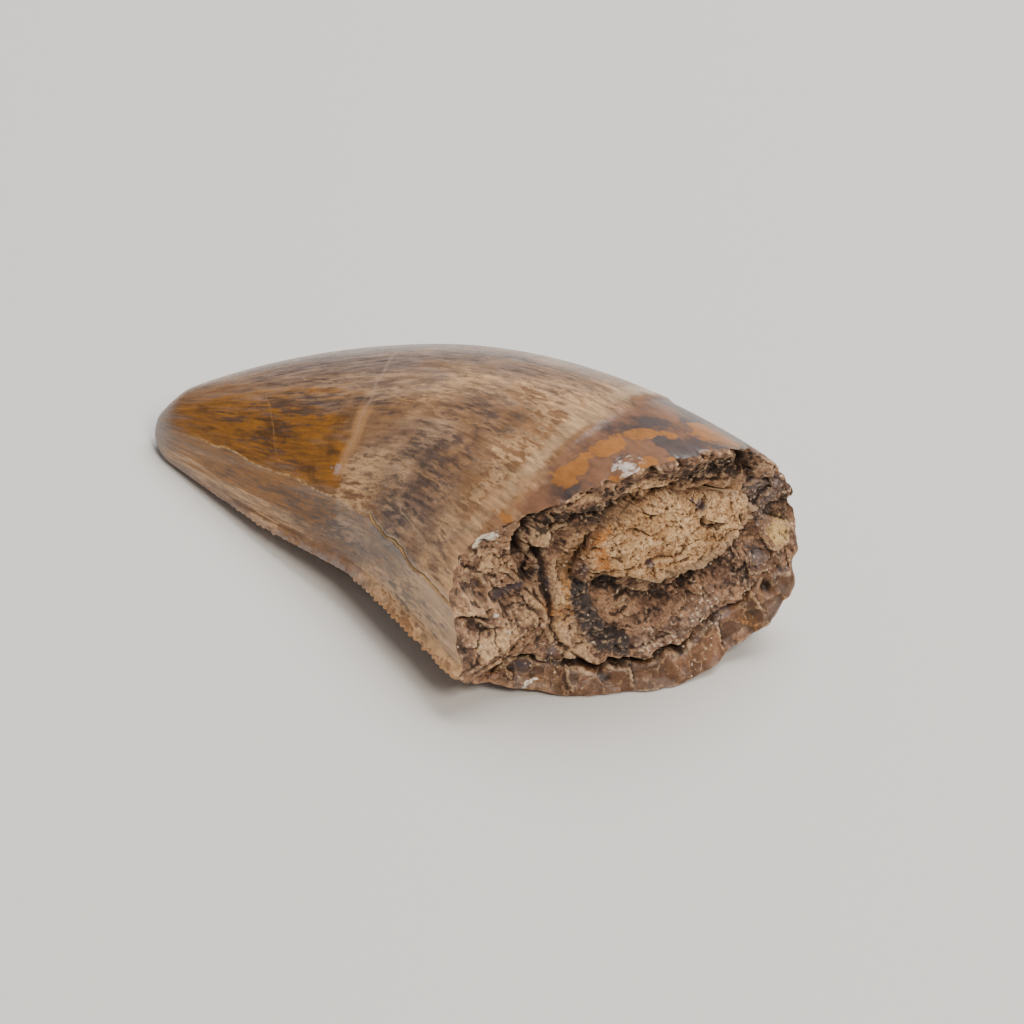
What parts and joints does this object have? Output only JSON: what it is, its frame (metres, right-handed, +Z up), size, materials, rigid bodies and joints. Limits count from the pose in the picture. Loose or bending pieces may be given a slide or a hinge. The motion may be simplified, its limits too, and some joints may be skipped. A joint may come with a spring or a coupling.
{
  "type": "fossil tyrannosaur tooth",
  "caption": "Crown of a tyrannosaur tooth with a stub of root, curved and serrated along its inner edge, broken across at the base, lying on its flank",
  "frame": {"origin": "middle of the bounding box in plan, at the surface that the tooth lies on", "axes": "+X runs along the tooth from the tip to the broken base; +Y is the convex mesial side, -Y the serrated side; +Z is up, out of the upper flank"},
  "size_m": [0.0386, 0.0244, 0.0146],
  "materials": {
    "tooth": "polished enamel over mineralised dentine, brown to amber",
    "sediment": "rough tan sandstone"
  },
  "bodies": {
    "root": {"tooth": "tooth", "sediment_fill": "sediment"}
  },
  "joints": []
}
